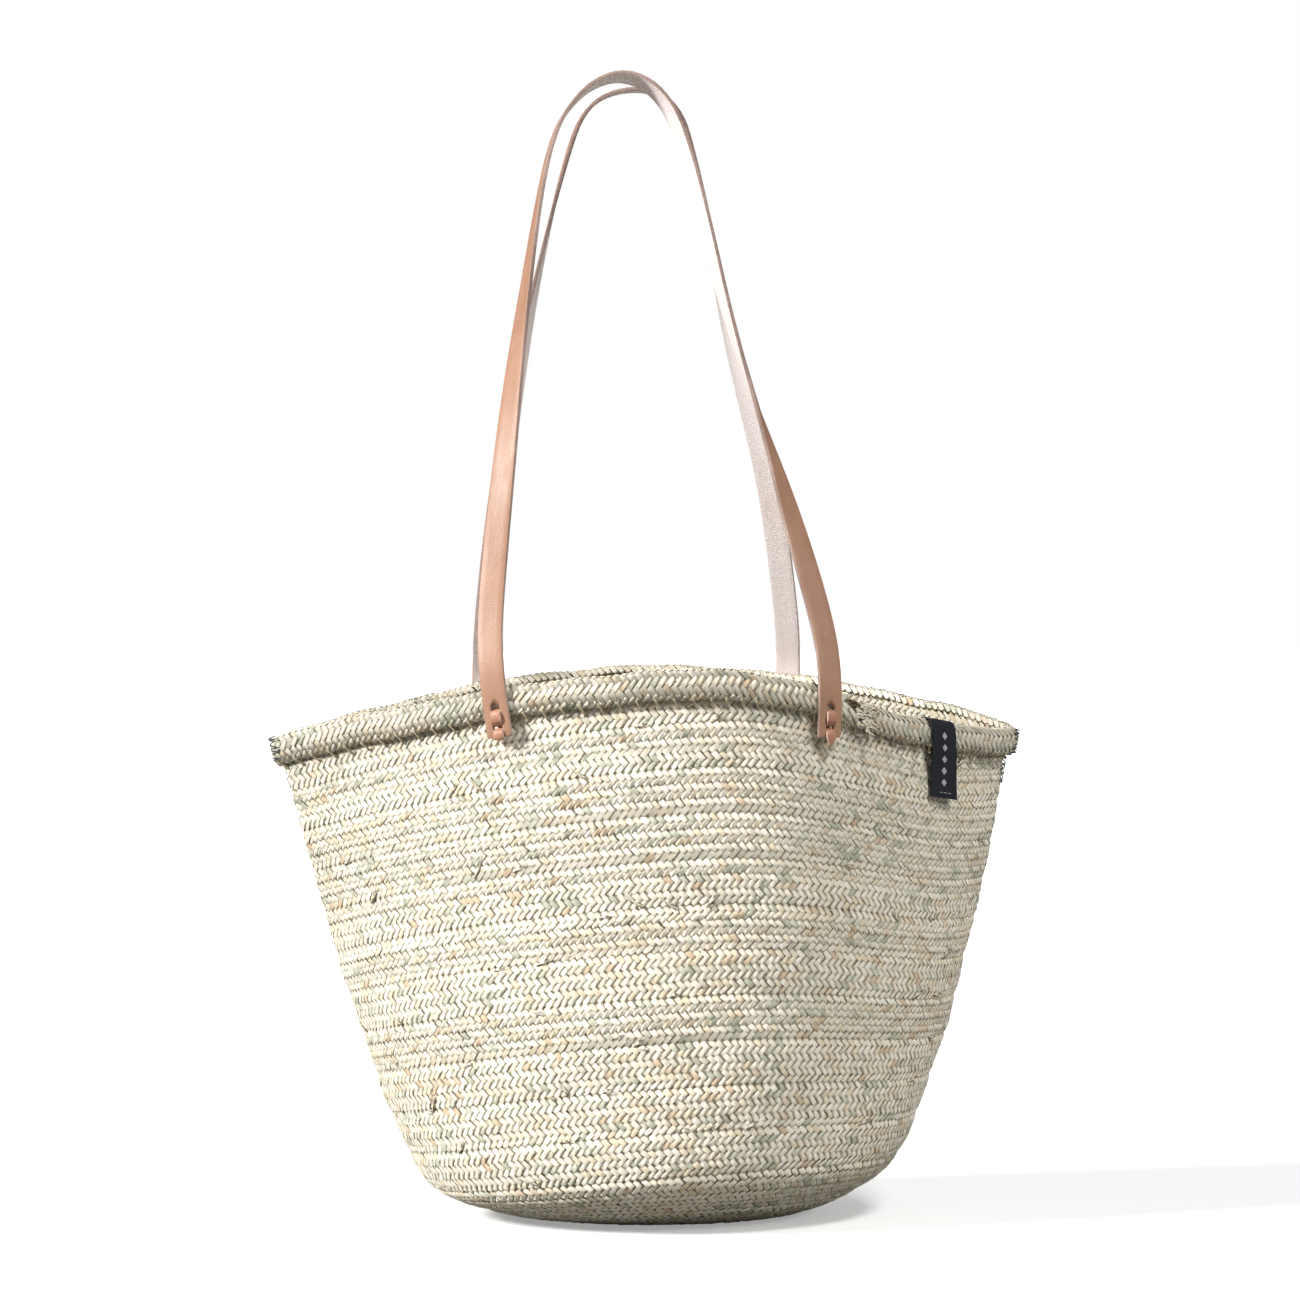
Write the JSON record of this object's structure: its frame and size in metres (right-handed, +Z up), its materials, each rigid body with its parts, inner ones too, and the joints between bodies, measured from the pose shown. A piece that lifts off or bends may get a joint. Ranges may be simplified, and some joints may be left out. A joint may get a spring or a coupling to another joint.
{
  "type": "woven market basket",
  "caption": "Tapered basket of sewn palm-leaf plait with a lens-shaped mouth, a folded hem and long leather strap handles laced on under the rim.",
  "frame": {"origin": "middle of the overall box, on the surface that the basket stands on", "axes": "+Z up, -Y towards the front, which carries the label, +X to the front's right-hand side as seen by a person facing it"},
  "size_m": [0.4779, 0.2572, 0.7103],
  "materials": {
    "palm_leaf": "dried palm leaf, woven, satin to matt, cream with grey-green and straw leaves",
    "sewing_leaf": "twisted strand of palm fibre, matt",
    "dark_thread": "dark brown-black sewing thread, matt",
    "strap_leather": "natural vegetable-tanned leather, smooth grain side, pale flesh side",
    "lace_leather": "the same leather, cut as a lace, a little darker where it is bent",
    "label_ribbon": "black woven ribbon, satin",
    "label_thread": "grey sewing thread"
  },
  "bodies": {
    "root": {"floor_turn_1": "palm_leaf", "floor_turn_2": "palm_leaf", "floor_turn_3": "palm_leaf", "floor_turn_4": "palm_leaf", "wall_turn_01": "palm_leaf", "wall_turn_02": "palm_leaf", "wall_turn_03": "palm_leaf", "wall_turn_04": "palm_leaf", "wall_turn_05": "palm_leaf", "wall_turn_06": "palm_leaf", "wall_turn_07": "palm_leaf", "wall_turn_08": "palm_leaf", "wall_turn_09": "palm_leaf", "wall_turn_10": "palm_leaf", "wall_turn_11": "palm_leaf", "wall_turn_12": "palm_leaf", "sewing_strand": "sewing_leaf", "rim_hem": "palm_leaf", "hem_stitches": "sewing_leaf", "left_corner_stitches": "dark_thread", "right_corner_stitches": "dark_thread", "front_strap_left_end": "strap_leather", "front_strap_right_end": "strap_leather", "rear_strap_left_end": "strap_leather", "rear_strap_right_end": "strap_leather", "front_left_lace": "lace_leather", "front_right_lace": "lace_leather", "rear_left_lace": "lace_leather", "rear_right_lace": "lace_leather", "label": "label_ribbon", "label_stitch": "label_thread"},
    "front_handle": {"front_strap": "strap_leather"},
    "rear_handle": {"rear_strap": "strap_leather"}
  },
  "joints": [
    {"name": "front_handle_swing", "type": "hinge", "parent": "root", "child": "front_handle", "pos_m": [-0.00192, -0.10847, 0.335], "axis": [0.9969, -0.0783, 0], "range_deg": [0, 150]},
    {"name": "rear_handle_swing", "type": "hinge", "parent": "root", "child": "rear_handle", "pos_m": [0.00424, 0.10942, 0.335], "axis": [-1, -0.0088, 0], "range_deg": [0, 150]}
  ]
}
